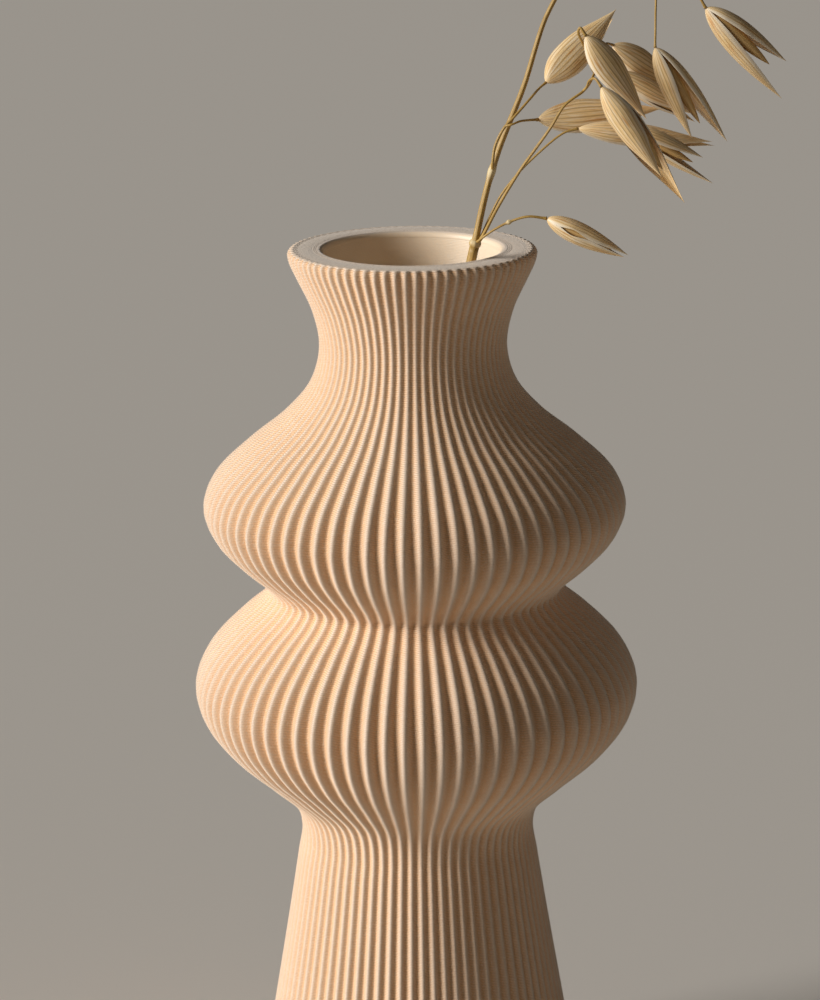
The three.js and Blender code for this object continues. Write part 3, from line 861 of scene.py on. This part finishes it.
def add_husk(name, foot, out, along, length, width, depth, side, seed, material, node, window=0):
    """One husk, of which side tells the upper (1) from the lower (-1), tucked into the upper.

    window is how far, in degrees, its near margin draws back over the grain."""
    random = np.random.RandomState(seed)
    across = np.cross(out, along)
    share = rounded_shares(*HUSK_SPAN, HUSK_RINGS)
    size = husk_size(share)
    drawn_back = window * np.exp(-((share - WINDOW_PLACE) / WINDOW_REACH) ** 2)
    near = np.radians(NEAR_WRAP - drawn_back)
    far = np.radians(FAR_WRAP if side > 0 else LOWER_FAR_WRAP)
    start, end = (-near, far) if side > 0 else (-far, near)
    outer = start + (end - start) * np.linspace(0, 1, HUSK_OUTER_POINTS)
    inner = end + (start - end) * np.linspace(0, 1, HUSK_INNER_POINTS + 2)[1:-1]
    angle = np.concatenate([outer, inner], axis=1)
    is_outer = np.arange(angle.shape[1])[None, :] < HUSK_OUTER_POINTS
    number = np.round(angle * HUSK_NERVES / math.pi)
    strength = 1 - NERVE_VARIATION + NERVE_VARIATION * np.sin(number * NERVE_VARIETY + seed)
    fade = np.sin(np.clip(share * NERVE_REACH, 0, 1) * math.pi) ** NERVE_FADE_POWER
    nerve = strength * np.cos(angle * HUSK_NERVES) ** NERVE_SHARPNESS * fade
    outer_depth = depth * size ** HUSK_DEPTH_POWER
    inner_depth = np.maximum(outer_depth - HUSK_THICKNESS, 0)
    reach = np.where(is_outer, outer_depth + NERVE_HEIGHT * nerve, inner_depth)
    half_width = size * width / 2 * (1 if side > 0 else TUCKED_WIDTH)
    curl = random.uniform(*HUSK_CURL)
    wave_rate = random.uniform(*MARGIN_WAVE_RATE)
    wave_start = random.uniform(*MARGIN_WAVE_START)
    wave = 1 + MARGIN_WAVE * np.sin(share * wave_rate + wave_start)
    distance_out = HUSK_FOOT_OFFSET + np.cos(angle) * reach + curl * share ** 3
    distance_across = np.sin(angle) * half_width * wave
    rings = (
        np.array(foot)
        + distance_out[..., None] * out
        + (share * length)[..., None] * along
        + distance_across[..., None] * across
    )
    middle = rings.mean(axis=1)
    piece = ring_stack(name, middle[0], rings, middle[-1], material)
    store(piece, "nerve", nerve)
    store(piece, "margin", np.abs(np.sin(angle)))
    face = seed + np.where(is_outer, 0, INNER_FIBRE_SHIFT)
    fibre = (angle * HUSK_FIBRE_TURN, face, share * length * FIBRE_STRETCH)
    store(piece, "fibre", np.stack(np.broadcast_arrays(*fibre), -1))
    stand_for(piece, "sprig", "husk", node)


def add_grain(name, foot, out, along, length, width, depth, seed, material, node):
    """The grain between two husks, shifted towards the side that gapes, with a crease on the other."""
    across = np.cross(out, along)
    share = rounded_shares(*GRAIN_SPAN, GRAIN_RINGS)
    angle = (np.arange(GRAIN_SIDES) / GRAIN_SIDES * 2 * math.pi)[None, :]
    from_crease = (angle - math.pi * 3 / 2) / GRAIN_CREASE_WIDTH
    crease = 1 - GRAIN_CREASE * np.exp(-from_crease ** 2)
    radius = 2 * share ** GRAIN_SWELL * (1 - share) ** GRAIN_BLUNTNESS * crease
    place = (GRAIN_START + (GRAIN_END - GRAIN_START) * share) * length
    distance_across = (np.sin(angle) * radius * GRAIN_FILL / 2 + GRAIN_SHIFT) * width
    rings = (
        np.array(foot)
        + (np.cos(angle) * radius * depth * GRAIN_FILL)[..., None] * out
        + place[..., None] * along
        + distance_across[..., None] * -across
    )
    middle = rings.mean(axis=1)
    piece = ring_stack(name, middle[0], rings, middle[-1], material)
    fibre = (np.cos(angle), np.sin(angle) + seed, place * FIBRE_STRETCH)
    store(piece, "fibre", np.stack(np.broadcast_arrays(*fibre), -1))
    stand_for(piece, "sprig", "grain", node)


def add_spikelet(number, spikelet, husk_material, grain_material):
    foot, tip = Vector(spikelet["foot"]), Vector(spikelet["tip"])
    width, depth = spikelet["width"], spikelet["depth"]
    length = (tip - foot).length
    along = (tip - foot).normalized()
    out = Vector((-along.z, 0, along.x)).normalized()
    out = Matrix.Rotation(math.radians(spikelet["roll"]), 3, along) @ out
    lean = math.radians(spikelet["gape"] / 2)
    for side, label in ((1, "upper"), (-1, "lower")):
        husk_along = along * math.cos(lean) + out * side * math.sin(lean)
        husk_out = out * side * math.cos(lean) - along * math.sin(lean)
        add_husk(
            f"spikelet_{number}_{label}_glume", foot, husk_out, husk_along,
            length * spikelet[label], width, depth, side, number * 2 + side,
            husk_material, f"spikelet_{number}_{label}_husk", spikelet.get("window", 0),
        )
    add_grain(
        f"spikelet_{number}_kernel", foot, out, along, length, width, depth, number,
        grain_material, f"spikelet_{number}_grain",
    )


# ------------------------------------------------------------------ the scene

add_camera()
add_floor()
add_sun()
add_sky()

add_vase(printed_plastic())
straw_material = straw()
add_culm(straw_material)
for stem in STEMS:
    add_stem(stem, straw_material)
husk_material, grain_material = husk(), grain_skin()
for number, spikelet in enumerate(SPIKELETS, 1):
    add_spikelet(number, spikelet, husk_material, grain_material)
